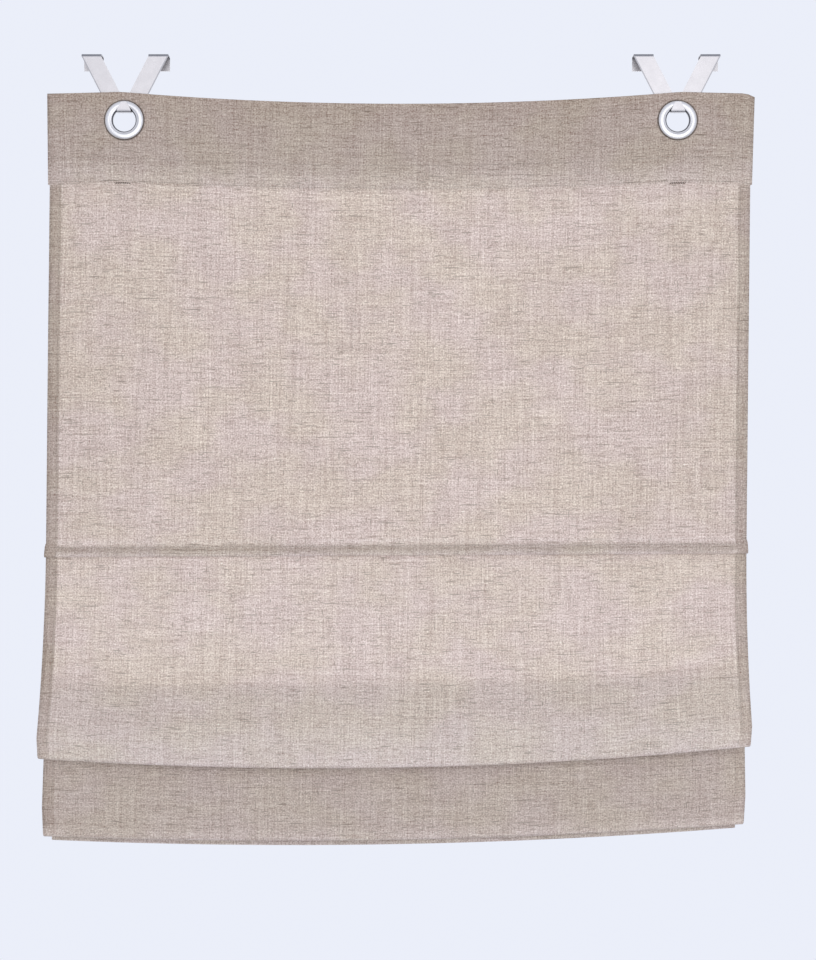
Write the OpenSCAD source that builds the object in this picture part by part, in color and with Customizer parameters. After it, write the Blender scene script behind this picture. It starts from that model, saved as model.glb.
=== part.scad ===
// Roman blind of slubby linen, hung by two eyelets on flat metal hooks that sit over a window sash.
// Millimetres, +Z up, and the front of the blind faces -Y.
// The origin lies on top of the sash, midway between the hooks, at the sash's front face.

/* [Cloth] */
// Finished width of the cloth
cloth_w = 800; // [700:1:1000]
// Thickness of one layer of linen
cloth_t = 0.8; // [0.6:0.05:1]
// Width of the turned side hems
side_hem_w = 13.6; // [8:0.1:25]
// Thickness that the turned side hems add at the back
side_hem_t = 0.6; // [0.3:0.05:0.8]
// How much the header's top edge is wider than the panel, on each side
header_flare = 4; // [0:0.5:6]
// How much the header's lower edge is wider than the panel, on each side
header_edge_flare = 2; // [0:0.5:5]
// How much the front fold spreads on each side
fold_flare = 7.5; // [0:0.5:12]
// How much the second fold spreads on each side
second_flare = 3; // [0:0.5:8]
// How much the folds' lower corners draw in on each side
corner_draw = 4.5; // [0:0.5:8]
// How much narrower the bottom hem is on each side
hem_inset = 6; // [0:0.5:10]
// How far the cloth leans to the left from its top edge to its hem
lean = 9; // [0:0.5:15]

/* [Header] */
// Height of the turned header
header_h = 104; // [90:1:130]
// Height of the eyelets' centres below the cloth's top edge
eyelet_drop = 32.5; // [28:0.5:40]
// Distance from the eyelets' centres to the cloth's sides
eyelet_inset = 84; // [70:1:120]
// Sag of the header's top edge between the eyelets
header_sag = 13.5; // [0:0.5:25]
// Sag of the header's lower edge between the eyelets
header_edge_sag = 8.5; // [0:0.5:20]
// Droop of the header's free corners beside the eyelets
corner_droop = 2; // [0:0.5:8]
// How far the header's right corner is turned down
corner_turn = 4; // [0:0.5:8]
// Height of the stiffening tape inside the header
tape_h = 74; // [66:1:85]
// Thickness of the stiffening tape
tape_t = 0.6; // [0.4:0.05:1]

/* [Folds] */
// Length of cloth from its top edge to the upper tunnel's seam
upper_len = 517; // [400:1:700]
// Length of cloth from one tunnel's seam to the next
tunnel_pitch = 350; // [335:1:360]
// Drop of the front fold below the upper tunnel's seam
front_fold_drop = 254.5; // [245:0.5:265]
// Drop of the second fold below the middle tunnel's seam
second_fold_drop = 180.5; // [170:0.5:190]
// Length of the last stretch of cloth, from the lower tunnel's seam to the hem
last_len = 177; // [150:1:190]
// How far the front fold swells forward of the panel
fold_swell = 8; // [6:0.5:14]
// Outer radius of the soft turn at the bottom of a fold
fold_r = 4.5; // [3.5:0.1:7]
// Sag of the front fold between its ends
front_fold_sag = 17; // [0:1:25]
// Sag of the second fold between its ends
second_fold_sag = 11; // [0:1:20]
// Sag of the bottom hem between its ends
hem_sag = 12; // [0:1:20]
// How much higher the upper tunnel hangs at its right end
tunnel_rise = 4.5; // [0:0.5:8]
// How much higher the folds hang at their right ends
fold_rise = 14; // [0:0.5:20]

/* [Rods and bar] */
// Diameter of the tunnel rods
rod_d = 4; // [3:0.1:5]
// Distance from a rod's end to the cloth's side
rod_end = 8; // [5:0.5:20]
// Height of a sewn tunnel
tunnel_h = 12.5; // [11:0.1:18]
// Height of the flat weight bar in the bottom hem
bar_h = 18; // [12:0.5:30]
// Height of the bottom hem above the weight bar
hem_margin = 10; // [7:0.5:20]
// Thickness of the weight bar
bar_t = 2.5; // [1.5:0.1:4]
// Distance from the bar's end to the cloth's side
bar_end = 15; // [8:0.5:30]

/* [Hooks] */
// Overall width of a hook's V at the top
hook_w = 99; // [85:0.5:120]
// Width of the hook's metal strip
strip_w = 20; // [14:0.5:24]
// Thickness of the hook's metal
strip_t = 1.2; // [0.8:0.1:1.5]
// Angle of the V's arms from upright
arm_angle = 27.2; // [24:0.2:32]
// Depth from the top of the sash down to the seat of the eyelet
hook_drop = 65.6; // [60:0.1:75]
// Thickness of the sash lip that the hook fits over
lip_t = 18; // [10:0.5:30]
// Length of the legs behind the sash lip
leg_h = 15; // [8:0.5:25]
// Inner radius of the bends over the sash
bend_r = 1.5; // [1:0.1:3]
// Width of the tongue that carries the eyelet
tongue_w = 16; // [10:0.5:18]
// Width of the tongue's tip
tip_w = 6.5; // [4:0.5:9]
// Height of the tongue above its seat
tongue_h = 10.5; // [7:0.5:13]

/* [Eyelets and rings] */
// Outer diameter of an eyelet's face
eyelet_d = 44.5; // [40:0.5:50]
// Bore of an eyelet
bore_d = 26; // [22:0.5:30]
// Height of the domed face above the cloth
dome_h = 3.2; // [2:0.1:4]
// Wall of the pressed eyelet metal
eyelet_t = 0.6; // [0.4:0.05:0.8]
// Outer diameter of the washer behind the cloth
washer_d = 38; // [35:0.5:42]
// Thickness of the washer
washer_t = 0.6; // [0.4:0.05:1]
// Outer diameter of a cord ring
ring_d = 13; // [10:0.5:16]
// Thickness of a cord ring
ring_t = 1.6; // [1.2:0.1:2.5]

/* [Hidden] */
$fn = 64;

LINEN = [0.80, 0.74, 0.70];
TAPE = [0.90, 0.88, 0.84];
STEEL = [0.82, 0.82, 0.84];
SATIN = [0.90, 0.90, 0.91];
GLASS_FIBRE = [0.93, 0.93, 0.90];
BAR_GREY = [0.72, 0.73, 0.74];
CLEAR_PLASTIC = [0.93, 0.94, 0.95];

// Clearance between pieces that hang or slide
gap = 0.3;
// Clearance between pieces that are pressed, sewn or clenched together
seat = 0.05;
// Inner radius of the tongue's bends
tongue_r = 0.8;
// Height over which the foot of the V narrows to the tongue
shoulder_h = 9;
// Radius of the barrel's edge where it is clenched over the washer
curl_r = 1.2;
// How far the clenched edge reaches over the washer
curl_reach = 1.8;
// Height over which the panel runs forward into the upper tunnel
seam_rise = 4;
// Height over which the hem's turned layer closes on its stitching
hem_close = 6;
// Stretch of cloth over which a hem's extra thickness fades out
fade = 2;
// How far the upper tunnel's ends stand out at the sides
tunnel_flare = 1;
// Shares of the way down a fold at which it is widest
front_wide = 0.9;
second_wide = 0.8;
// Width over which a side hem steps up to its thickness
hem_step = 0.4;
// Length of the thread that a ring hangs by
ring_thread = 0.6;
// Number of places from eyelet to eyelet, and of steps round a turn and over a crown
places = 9;
turn_steps = 6;
crown_steps = 4;

half_w = cloth_w / 2;
eyelet_x = half_w - eyelet_inset;
bore_r = bore_d / 2;

// Depths, from the sash forward
curl_back = strip_t + gap;
header_back = curl_back + eyelet_t + seat + washer_t + seat;
header_t = 2 * cloth_t + tape_t + 2 * seat;
header_front = header_back + header_t;
dome_back = header_front + seat;
dome_front = dome_back + dome_h;
tongue_back = dome_front + gap;

// Heights, from the top of the sash
eyelet_z = -hook_drop - sqrt(pow(bore_r - gap, 2) - pow(tongue_w / 2, 2));
top_z = eyelet_z + eyelet_drop;
seam_1_z = top_z - upper_len;
fold_1_z = seam_1_z - front_fold_drop;
seam_2_z = fold_1_z + tunnel_pitch - front_fold_drop;
fold_2_z = seam_2_z - second_fold_drop;
seam_3_z = fold_2_z + tunnel_pitch - second_fold_drop;
hem_z = seam_3_z - last_len;

// Tunnel section: outer radius round the rod, and the layers' places at the seam
tuck_r = rod_d / 2 + gap + cloth_t;
tuck_reach = tuck_r + gap;
tuck_neck = gap / 2 + cloth_t;
crown_r = (tuck_reach - tuck_neck) / 2;
crown_y = (tuck_reach + tuck_neck) / 2;
rod_drop = tunnel_h - tuck_r;

// Places of the hanging layers' front faces, from front to back
panel_y = -header_front;
fold_1_y = panel_y - fold_swell;
rise_1_y = fold_1_y + 2 * fold_r;
tunnel_2_y = rise_1_y + tuck_reach;
fold_2_y = tunnel_2_y + tuck_reach;
rise_2_y = fold_2_y + 2 * fold_r;
tunnel_3_y = rise_2_y + tuck_reach;
last_y = tunnel_3_y + tuck_reach;
tunnel_1_y = panel_y - tuck_reach;
pocket_r = bar_t / 2 + gap + cloth_t;
hem_h = pocket_r + bar_h + hem_margin;

// Levels that the cloth passes, each with its own sag and rise across the width
TOP = 0;
HEADER_EDGE = 1;
SEAM_1 = 2;
FOLD_1 = 3;
SEAM_2 = 4;
FOLD_2 = 5;
SEAM_3 = 6;
HEM = 7;

function header_curve(x, sag) =
    abs(x) < eyelet_x
        ? -sag * (1 - pow(x / eyelet_x, 2))
        : -corner_droop * (abs(x) - eyelet_x) / eyelet_inset;

// The right corner turns down over the width of its side hem
function corner_curve(x) = -corner_turn * pow(max(0, 1 - (half_w - x) / side_hem_w), 2);

function bow(x, z, sag, rise) = z + sag * pow(x / half_w, 2) + rise * x / cloth_w;

function level_z(level, x) =
    level == TOP ? top_z + header_curve(x, header_sag) + corner_curve(x) :
    level == HEADER_EDGE ? top_z - header_h + header_curve(x, header_edge_sag) :
    level == SEAM_1 ? bow(x, seam_1_z, 0, tunnel_rise) :
    level == FOLD_1 ? bow(x, fold_1_z, front_fold_sag, fold_rise) :
    level == SEAM_2 ? bow(x, seam_2_z, 0, fold_rise) :
    level == FOLD_2 ? bow(x, fold_2_z, second_fold_sag, fold_rise) :
    level == SEAM_3 ? bow(x, seam_3_z, 0, fold_rise) :
    bow(x, hem_z, hem_sag, fold_rise);

// A point of the cloth's section, on its front face: the depth, the level, the height above that level,
// the spread at the sides and the share of the side hems' thickness. Between two levels, the height is
// replaced by the share of the way to the next level.
function at(level, y, dz, spread = 0, hem = 0) = [y, level, dz, 0, spread, hem];
function between(level, y, share, spread = 0, hem = 1) = [y, level, 0, share, spread, hem];

// Points round a turn of the section
function turn(level, y, dz, r, from, to, steps, spread = 0, hem = 0) =
    [for (k = [0 : steps])
        let (a = from + (to - from) * k / steps)
        at(level, y + r * cos(a), dz + r * sin(a), spread, hem)];

// The soft turn at the bottom of a fold, whose corners draw in
function fold_turn(level, y, flare) =
    [for (k = [0 : turn_steps])
        let (a = 180 + 180 * k / turn_steps)
        at(
            level, y + fold_r + fold_r * cos(a), fold_r + fold_r * sin(a),
            flare - corner_draw * (2 + cos(a)) / 3, 1
        )];

function header_section() =
    let (r = header_t / 2)
    concat(
        [at(HEADER_EDGE, -header_back, 0, header_edge_flare)],
        turn(TOP, -header_back - r, -r, r, 0, 180, crown_steps, header_flare),
        [at(HEADER_EDGE, panel_y, 0, header_edge_flare)]
    );

function panel_section() = [for (share = [0.01, 0.5, 0.9]) between(HEADER_EDGE, panel_y, share)];

function upper_tunnel_section() =
    concat(
        [at(SEAM_1, panel_y, seam_rise)],
        [at(SEAM_1, panel_y - 2 * (gap + cloth_t), 0, tunnel_flare)],
        turn(SEAM_1, tunnel_1_y, -rod_drop, tuck_r, 170, 360, turn_steps, tunnel_flare),
        turn(SEAM_1, panel_y - gap / 2, 0, gap / 2, 180, 0, crown_steps),
        [at(SEAM_1, panel_y, -tunnel_h)]
    );

function front_fold_section() =
    concat(
        [for (share = [0.08, 0.4, 0.7, front_wide])
            between(
                SEAM_1, panel_y - fold_swell * pow(share, 2), share, fold_flare * pow(share / front_wide, 2)
            )],
        fold_turn(FOLD_1, fold_1_y, fold_flare)
    );

// A tunnel tucked inside the crown between two hanging layers
function hidden_tunnel_section(level, y) =
    concat(
        [at(level, y - tuck_reach, -tunnel_h - fade, 0, 1)],
        [at(level, y - tuck_reach, -tunnel_h)],
        turn(level, y - crown_y, 0, crown_r, 180, 0, crown_steps),
        turn(level, y, -rod_drop, tuck_r, 170, 370, turn_steps),
        turn(level, y + crown_y, 0, crown_r, 180, 0, crown_steps),
        [at(level, y + tuck_reach, -tunnel_h)],
        [at(level, y + tuck_reach, -tunnel_h - fade, 0, 1)]
    );

function second_fold_section() =
    concat(
        [between(SEAM_2, fold_2_y, second_wide, second_flare)],
        fold_turn(FOLD_2, fold_2_y, second_flare)
    );

function bottom_hem_section() =
    concat(
        [at(HEM, last_y, hem_h + fade, -hem_inset, 1)],
        [at(HEM, last_y, hem_h, -hem_inset)],
        turn(HEM, last_y + pocket_r, pocket_r, pocket_r, 180, 360, crown_steps, -hem_inset),
        [at(HEM, last_y + 2 * pocket_r, hem_h - hem_close, -hem_inset)],
        [at(HEM, last_y + 2 * cloth_t + gap, hem_h, -hem_inset)]
    );

cloth_section = concat(
    header_section(),
    panel_section(),
    upper_tunnel_section(),
    front_fold_section(),
    hidden_tunnel_section(SEAM_2, tunnel_2_y),
    second_fold_section(),
    hidden_tunnel_section(SEAM_3, tunnel_3_y),
    bottom_hem_section()
);

// Places across the width: evenly from eyelet to eyelet, and out to a reach on both sides
function spread_places(reach) =
    concat([-reach], [for (k = [0 : places - 1]) eyelet_x * (2 * k / (places - 1) - 1)], [reach]);

function cloth_places() =
    let (inner = half_w - side_hem_w)
    concat([-half_w, -inner - hem_step], spread_places(inner), [inner + hem_step, half_w]);

function section_z(p, x) =
    let (z = level_z(p[1], x))
    p[3] == 0 ? z + p[2] : z + p[3] * (level_z(p[1] + 1, x) - z);

// How far the cloth and what is sewn into it stand aside at a height
function lean_at(z) = -lean * (top_z - z) / (top_z - hem_z);

function front_at(x) =
    [for (p = cloth_section)
        let (z = section_z(p, x))
        [x * (1 + p[4] / half_w) + lean_at(z), p[0], z]];

// The back face lies one thickness behind the front face, square to the way that the section runs
function back_at(x, front) =
    let (last = len(front) - 1)
    [for (k = [0 : last])
        let (
            run = front[min(k + 1, last)] - front[max(k - 1, 0)],
            size = norm([run.y, run.z]),
            hem = abs(x) > half_w - side_hem_w ? cloth_section[k][5] : 0,
            t = cloth_t + side_hem_t * hem
        )
        front[k] + t / size * [0, -run.z, run.y]];

function halves(q) = [[q[0], q[1], q[2]], [q[0], q[2], q[3]]];

// A solid between two grids of points, each a list of rows across the width
module sheet_solid(front, back) {
    rows = len(front);
    n = len(front[0]);
    behind = rows * n;
    quads = concat(
        [for (i = [0 : rows - 2], j = [0 : n - 2])
            [i * n + j, (i + 1) * n + j, (i + 1) * n + j + 1, i * n + j + 1]],
        [for (i = [0 : rows - 2], j = [0 : n - 2])
            [i * n + j, i * n + j + 1, (i + 1) * n + j + 1, (i + 1) * n + j] + behind * [1, 1, 1, 1]],
        [for (i = [0 : rows - 2])
            [(i + 1) * n, i * n, behind + i * n, behind + (i + 1) * n]],
        [for (i = [1 : rows - 1])
            [i * n - 1, (i + 1) * n - 1, behind + (i + 1) * n - 1, behind + i * n - 1]],
        [for (j = [0 : n - 2])
            [behind + j, j, j + 1, behind + j + 1]],
        [for (j = [0 : n - 2])
            let (k = (rows - 1) * n + j)
            [k, behind + k, behind + k + 1, k + 1]]
    );
    polyhedron(
        points = concat([for (row = front) each row], [for (row = back) each row]),
        faces = [for (q = quads) each halves(q)],
        convexity = 10
    );
}

// A flat strip that follows a level of the cloth, from one height above it to another
module level_strip(level, reach, y_front, y_back, z_low, z_high) {
    xs = spread_places(reach);
    function face(y) =
        [for (x = xs)
            [for (dz = [z_high, z_low])
                let (z = level_z(level, x) + dz)
                [x + lean_at(z), y, z]]];
    sheet_solid(face(y_front), face(y_back));
}

module at_eyelet(side) {
    translate([side * eyelet_x, 0, eyelet_z])
        rotate([90, 0, 0])
            children();
}

module eyelet_holes() {
    for (side = [-1, 1])
        at_eyelet(side)
            cylinder(h = 2 * header_front, r = bore_r + eyelet_t + gap / 2);
}

module blind_cloth() {
    xs = cloth_places();
    front = [for (x = xs) front_at(x)];
    back = [for (i = [0 : len(xs) - 1]) back_at(xs[i], front[i])];
    color(LINEN)
        difference() {
            sheet_solid(front, back);
            eyelet_holes();
        }
}

module header_tape() {
    fold = cloth_t + seat;
    color(TAPE)
        difference() {
            level_strip(
                TOP, half_w - side_hem_w,
                -header_front + fold, -header_back - fold,
                -tape_h, -header_t / 2 - gap
            );
            eyelet_holes();
        }
}

// A quarter of a bent strip, from one side of a quadrant to the other
module bend(r, quadrant) {
    intersection() {
        difference() {
            circle(r + strip_t);
            circle(r);
        }
        rotate(90 * quadrant)
            square(r + strip_t);
    }
}

// A shape drawn in depth and height, drawn out along the width
module along_width(w) {
    translate([-w / 2, 0, 0])
        rotate([90, 0, 90])
            linear_extrude(w)
                children();
}

// The tab over the sash: both bends, the flat top and the leg behind
module tab_profile() {
    translate([bend_r, -bend_r])
        bend(bend_r, 1);
    translate([bend_r, 0])
        square([lip_t - 2 * bend_r, strip_t]);
    translate([lip_t - bend_r, -bend_r])
        bend(bend_r, 0);
    translate([lip_t, -leg_h])
        square([strip_t, leg_h - bend_r]);
}

// The tongue's foot: out of the plate, forward through the bore and up in front of the eyelet
module tongue_profile() {
    foot = tongue_back - strip_t - 2 * tongue_r;
    translate([-strip_t - tongue_r, tongue_r])
        bend(tongue_r, 3);
    translate([-strip_t - tongue_r - foot, -strip_t])
        square([foot, strip_t]);
    translate([-tongue_back + tongue_r, tongue_r])
        bend(tongue_r, 2);
}

module hook() {
    slope = tan(arm_angle);
    tab_w = strip_w / cos(arm_angle);
    top = -bend_r;
    low = -hook_drop + tongue_r;
    shoulder = low + shoulder_h;
    outer = hook_w / 2;
    inner = outer - tab_w;
    shoulder_x = outer - (top - shoulder) * slope;
    for (side = [-1, 1])
        translate([side * (outer - tab_w / 2), 0, 0])
            along_width(tab_w)
                tab_profile();
    rotate([90, 0, 0])
        linear_extrude(strip_t)
            polygon([
                [outer, top],
                [shoulder_x, shoulder],
                [tongue_w / 2, low],
                [-tongue_w / 2, low],
                [-shoulder_x, shoulder],
                [-outer, top],
                [-inner, top],
                [0, top - inner / slope],
                [inner, top]
            ]);
    translate([0, 0, -hook_drop])
        along_width(tongue_w)
            tongue_profile();
    translate([0, -tongue_back, -hook_drop])
        rotate([90, 0, 0])
            linear_extrude(strip_t)
                polygon([
                    [tongue_w / 2, tongue_r],
                    [tip_w / 2, tongue_h],
                    [-tip_w / 2, tongue_h],
                    [-tongue_w / 2, tongue_r]
                ]);
}

// Points round an arc that is as wide as rx and as high as rz
function arc(r, z, rx, rz, from, to) =
    [for (k = [0 : 2 * turn_steps])
        let (a = from + (to - from) * k / (2 * turn_steps))
        [r + rx * cos(a), z + rz * sin(a)]];

// The pressed sheet of an eyelet: domed face, barrel and clenched edge
module eyelet_face() {
    ridge = (eyelet_d / 2 + bore_r) / 2;
    crest = (eyelet_d / 2 - bore_r) / 2;
    curl = bore_r + curl_r;
    inner_r = curl_r - eyelet_t;
    rotate_extrude()
        polygon(concat(
            arc(ridge, dome_back, crest, dome_h, 0, 180),
            arc(curl, curl_back + curl_r, curl_r, curl_r, 180, 270),
            [[curl + curl_reach, curl_back], [curl + curl_reach, curl_back + eyelet_t]],
            arc(curl, curl_back + curl_r, inner_r, inner_r, 270, 180),
            arc(ridge, dome_back, crest - eyelet_t, dome_h - eyelet_t, 180, 0)
        ));
}

module eyelet_washer() {
    hole = bore_r + curl_r + seat;
    base = curl_back + eyelet_t + seat;
    rotate_extrude()
        polygon([
            [hole, base],
            [washer_d / 2 - washer_t, base],
            [washer_d / 2, base + washer_t / 2],
            [washer_d / 2, base + washer_t],
            [hole, base + washer_t]
        ]);
}

module tunnel_rod(level, y) {
    rise = level_z(level, half_w) - level_z(level, -half_w);
    z = level_z(level, 0) - rod_drop;
    color(GLASS_FIBRE)
        translate([lean_at(z), y, z])
            rotate([0, 90 - atan(rise / cloth_w), 0])
                cylinder(h = cloth_w - 2 * rod_end, d = rod_d, center = true);
}

// A ring that hangs flat on the back of the cloth, just below the line that it is sewn to
module cord_ring(side, level, y) {
    z = level_z(level, side * eyelet_x) - ring_thread - ring_d / 2;
    color(CLEAR_PLASTIC)
        translate([side * eyelet_x + lean_at(z), y + cloth_t + seat + ring_t / 2, z])
            rotate([90, 0, 0])
                rotate_extrude()
                    translate([(ring_d - ring_t) / 2, 0])
                        circle(d = ring_t, $fn = 32);
}

module hook_left() { color(STEEL) translate([-eyelet_x, 0, 0]) hook(); }
module hook_right() { color(STEEL) translate([eyelet_x, 0, 0]) hook(); }
module eyelet_face_left() { color(SATIN) at_eyelet(-1) eyelet_face(); }
module eyelet_face_right() { color(SATIN) at_eyelet(1) eyelet_face(); }
module eyelet_washer_left() { color(SATIN) at_eyelet(-1) eyelet_washer(); }
module eyelet_washer_right() { color(SATIN) at_eyelet(1) eyelet_washer(); }
module rod_upper() { tunnel_rod(SEAM_1, tunnel_1_y); }
module rod_middle() { tunnel_rod(SEAM_2, tunnel_2_y); }
module rod_lower() { tunnel_rod(SEAM_3, tunnel_3_y); }
module ring_header_left() { cord_ring(-1, HEADER_EDGE, panel_y); }
module ring_header_right() { cord_ring(1, HEADER_EDGE, panel_y); }
module ring_upper_left() { cord_ring(-1, SEAM_1, panel_y); }
module ring_upper_right() { cord_ring(1, SEAM_1, panel_y); }
module ring_middle_left() { cord_ring(-1, SEAM_2, fold_2_y); }
module ring_middle_right() { cord_ring(1, SEAM_2, fold_2_y); }
module ring_lower_left() { cord_ring(-1, SEAM_3, last_y); }
module ring_lower_right() { cord_ring(1, SEAM_3, last_y); }

module bottom_bar() {
    middle = last_y + pocket_r;
    color(BAR_GREY)
        level_strip(
            HEM, half_w - bar_end,
            middle - bar_t / 2, middle + bar_t / 2,
            pocket_r, pocket_r + bar_h
        );
}

blind_cloth();
header_tape();
hook_left();
hook_right();
eyelet_face_left();
eyelet_face_right();
eyelet_washer_left();
eyelet_washer_right();
rod_upper();
rod_middle();
rod_lower();
bottom_bar();
ring_header_left();
ring_header_right();
ring_upper_left();
ring_upper_right();
ring_middle_left();
ring_middle_right();
ring_lower_left();
ring_lower_right();
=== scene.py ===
import math
from collections import namedtuple

import bmesh
import bpy
from bpy.props import FloatProperty, FloatVectorProperty, PointerProperty
from mathutils import Matrix, Vector, noise


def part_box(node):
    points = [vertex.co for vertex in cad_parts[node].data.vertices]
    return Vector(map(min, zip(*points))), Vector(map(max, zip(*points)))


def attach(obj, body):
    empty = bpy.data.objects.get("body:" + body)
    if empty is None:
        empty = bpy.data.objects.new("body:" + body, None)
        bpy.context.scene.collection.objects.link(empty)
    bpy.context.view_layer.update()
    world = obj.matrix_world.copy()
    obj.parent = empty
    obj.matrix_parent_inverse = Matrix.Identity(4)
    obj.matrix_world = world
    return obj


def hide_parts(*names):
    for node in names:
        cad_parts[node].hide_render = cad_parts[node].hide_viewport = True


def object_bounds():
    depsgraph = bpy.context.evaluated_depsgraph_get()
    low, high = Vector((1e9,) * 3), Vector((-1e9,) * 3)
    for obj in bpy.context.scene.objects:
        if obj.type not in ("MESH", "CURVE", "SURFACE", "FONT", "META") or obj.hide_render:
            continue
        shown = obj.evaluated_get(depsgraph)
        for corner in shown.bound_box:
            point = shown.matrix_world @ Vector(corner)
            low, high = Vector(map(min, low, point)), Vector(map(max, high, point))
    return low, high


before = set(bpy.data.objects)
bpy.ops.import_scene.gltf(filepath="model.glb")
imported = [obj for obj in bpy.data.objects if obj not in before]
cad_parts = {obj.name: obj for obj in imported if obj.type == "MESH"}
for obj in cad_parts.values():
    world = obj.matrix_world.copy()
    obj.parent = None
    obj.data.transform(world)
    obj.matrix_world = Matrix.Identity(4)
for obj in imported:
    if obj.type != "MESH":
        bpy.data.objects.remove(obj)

bl_info = {
    "name": "Linen Roman Blind",
    "version": (1, 0, 0),
    "blender": (4, 5, 0),
    "location": "3D View > Sidebar > Blind",
    "description": "Hangs and sews the linen of a roman blind and finishes its metal fittings",
    "category": "Object",
}

BODY = "root"
CAD_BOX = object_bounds()

SIDES = {"left": -1, "right": 1}
TUNNELS = ("upper", "middle", "lower")
RING_ROWS = ("header",) + TUNNELS

# Levels that the cloth passes on its way down, each with its own sag and rise across the width
TOP, HEADER_EDGE, SEAM_1, FOLD_1, SEAM_2, FOLD_2, SEAM_3, HEM = range(8)

# A point of the cloth's section on its front face. Share, where it isn't zero, is the part of the way
# from the level to the next one, spread is how far the sides stand out, and loose how freely it drapes.
Stop = namedtuple("Stop", "level y dz share spread loose", defaults=(0.0, 0.0, 0.0, 0.0))
# A row of the cloth's mesh: the stop before it, the share of the way to the next one and the run of cloth
Row = namedtuple("Row", "stop share run")


def length(name, description, default):
    """A length that a user can set, in metres"""
    return FloatProperty(name=name, description=description, default=default, unit="LENGTH", precision=5)


def factor(name, description, default):
    """A share that a user can set"""
    return FloatProperty(name=name, description=description, default=default, subtype="FACTOR")


def colour(name, description, default):
    """A linear colour that a user can set"""
    return FloatVectorProperty(
        name=name, description=description, default=default, subtype="COLOR", min=0.0, max=1.0
    )


def on_line(points, value):
    """Value on a line through points, which stays level beyond its ends"""
    for (a, before), (b, after) in zip(points, points[1:]):
        if value < b:
            return before + (after - before) * max(0.0, value - a) / (b - a)
    return points[-1][1]


def middle(node):
    """Middle of a CAD node's box"""
    low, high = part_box(node)
    return (low + high) / 2


class BlindClothSettings(bpy.types.PropertyGroup):
    """Sizes and colours of the linen"""

    width: length("Width", "Finished width of the cloth", 0.8)
    layer_t: length("Layer", "Thickness of one layer of linen", 0.0008)
    clearance: length("Clearance", "Room between layers that hang or slide", 0.0003)
    seat: length("Seat", "Room between layers that are sewn together", 0.00005)
    hem_w: length("Side hem", "Width of the turned side hems", 0.0136)
    hem_t: length("Side hem thickness", "Thickness that the side hems add", 0.0006)
    header_h: length("Header", "Height of the turned header", 0.104)
    tape_h: length("Tape", "Height of the tape inside the header", 0.074)
    header_sag: length("Header sag", "Sag of the header's top edge between the eyelets", 0.0135)
    header_edge_sag: length("Header edge sag", "Sag of the header's lower edge", 0.0085)
    corner_droop: length("Corner droop", "Droop of the header's free corners", 0.002)
    header_flare: length("Header flare", "How much wider the top edge is, on each side", 0.004)
    header_edge_flare: length("Header edge flare", "The same at the header's lower edge", 0.002)
    corner_turn: length("Corner turn", "How far the header's right corner is turned down", 0.004)
    lean: length("Lean", "How far the cloth leans to the left from its top edge to its hem", 0.009)
    tunnel_h: length("Tunnel", "Height of a sewn rod tunnel", 0.0125)
    tunnel_flare: length("Tunnel flare", "How far the upper tunnel's ends stand out", 0.001)
    tunnel_rise: length("Tunnel rise", "Rise of the upper tunnel from left to right", 0.0045)
    fold_rise: length("Fold rise", "Rise of the folds from left to right", 0.014)
    front_fold_drop: length("Front fold", "Drop of the front fold below its seam", 0.2545)
    second_fold_drop: length("Second fold", "Drop of the second fold below its seam", 0.1805)
    last_len: length("Last stretch", "Length from the lower tunnel to the hem", 0.177)
    fold_r: length("Fold turn", "Outer radius of the soft turn of a fold", 0.0045)
    fold_swell: length("Fold swell", "How far the front fold swells forward", 0.008)
    fold_flare: length("Fold flare", "How much the front fold spreads on each side", 0.0075)
    second_flare: length("Second flare", "How much the second fold spreads on each side", 0.003)
    corner_draw: length("Corner draw", "How much the folds' lower corners draw in", 0.0045)
    hem_inset: length("Hem inset", "How much narrower the bottom hem is on each side", 0.006)
    front_fold_sag: length("Front fold sag", "Sag of the front fold", 0.017)
    second_fold_sag: length("Second fold sag", "Sag of the second fold", 0.011)
    hem_sag: length("Hem sag", "Sag of the bottom hem", 0.012)
    hem_h: length("Bottom hem", "Height of the turned bottom hem", 0.03035)
    hem_close: length("Hem closing", "Height over which the hem closes on its stitches", 0.006)
    drape: length("Drape", "Unevenness of the hanging cloth", 0.0011)
    pucker: length("Pucker", "Unevenness that the stitches draw into the cloth", 0.00025)
    thread_pitch: length("Thread pitch", "Distance from thread to thread of the weave", 0.00085)
    linen: colour("Linen", "Colour of the flax yarn", (0.798, 0.705, 0.640))
    linen_rosy: colour("Rosy linen", "Colour of the rosier yarn", (0.803, 0.701, 0.670))
    deep: colour("Deep shade", "Colour that is left in the darkest threads", (0.22, 0.05, 0.0))
    slub: colour("Slub", "Colour of the dark slubs and specks", (0.43, 0.36, 0.315))
    # Painted shade: the tint that darkens the cloth's colour where further layers lie behind it
    painted_shade_tint: colour("Backed linen", "Tint of the cloth where further layers back it", (0.82, 0.77, 0.73))
    # Painted shadow: the dark line painted on the cloth where the eyelets' flanges meet it
    pressed: colour("Pressed linen", "Colour of the cloth pressed in round the eyelets", (0.10, 0.085, 0.075))
    translucency: factor("Translucency", "Share of the light that passes a layer", 0.30)


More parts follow.
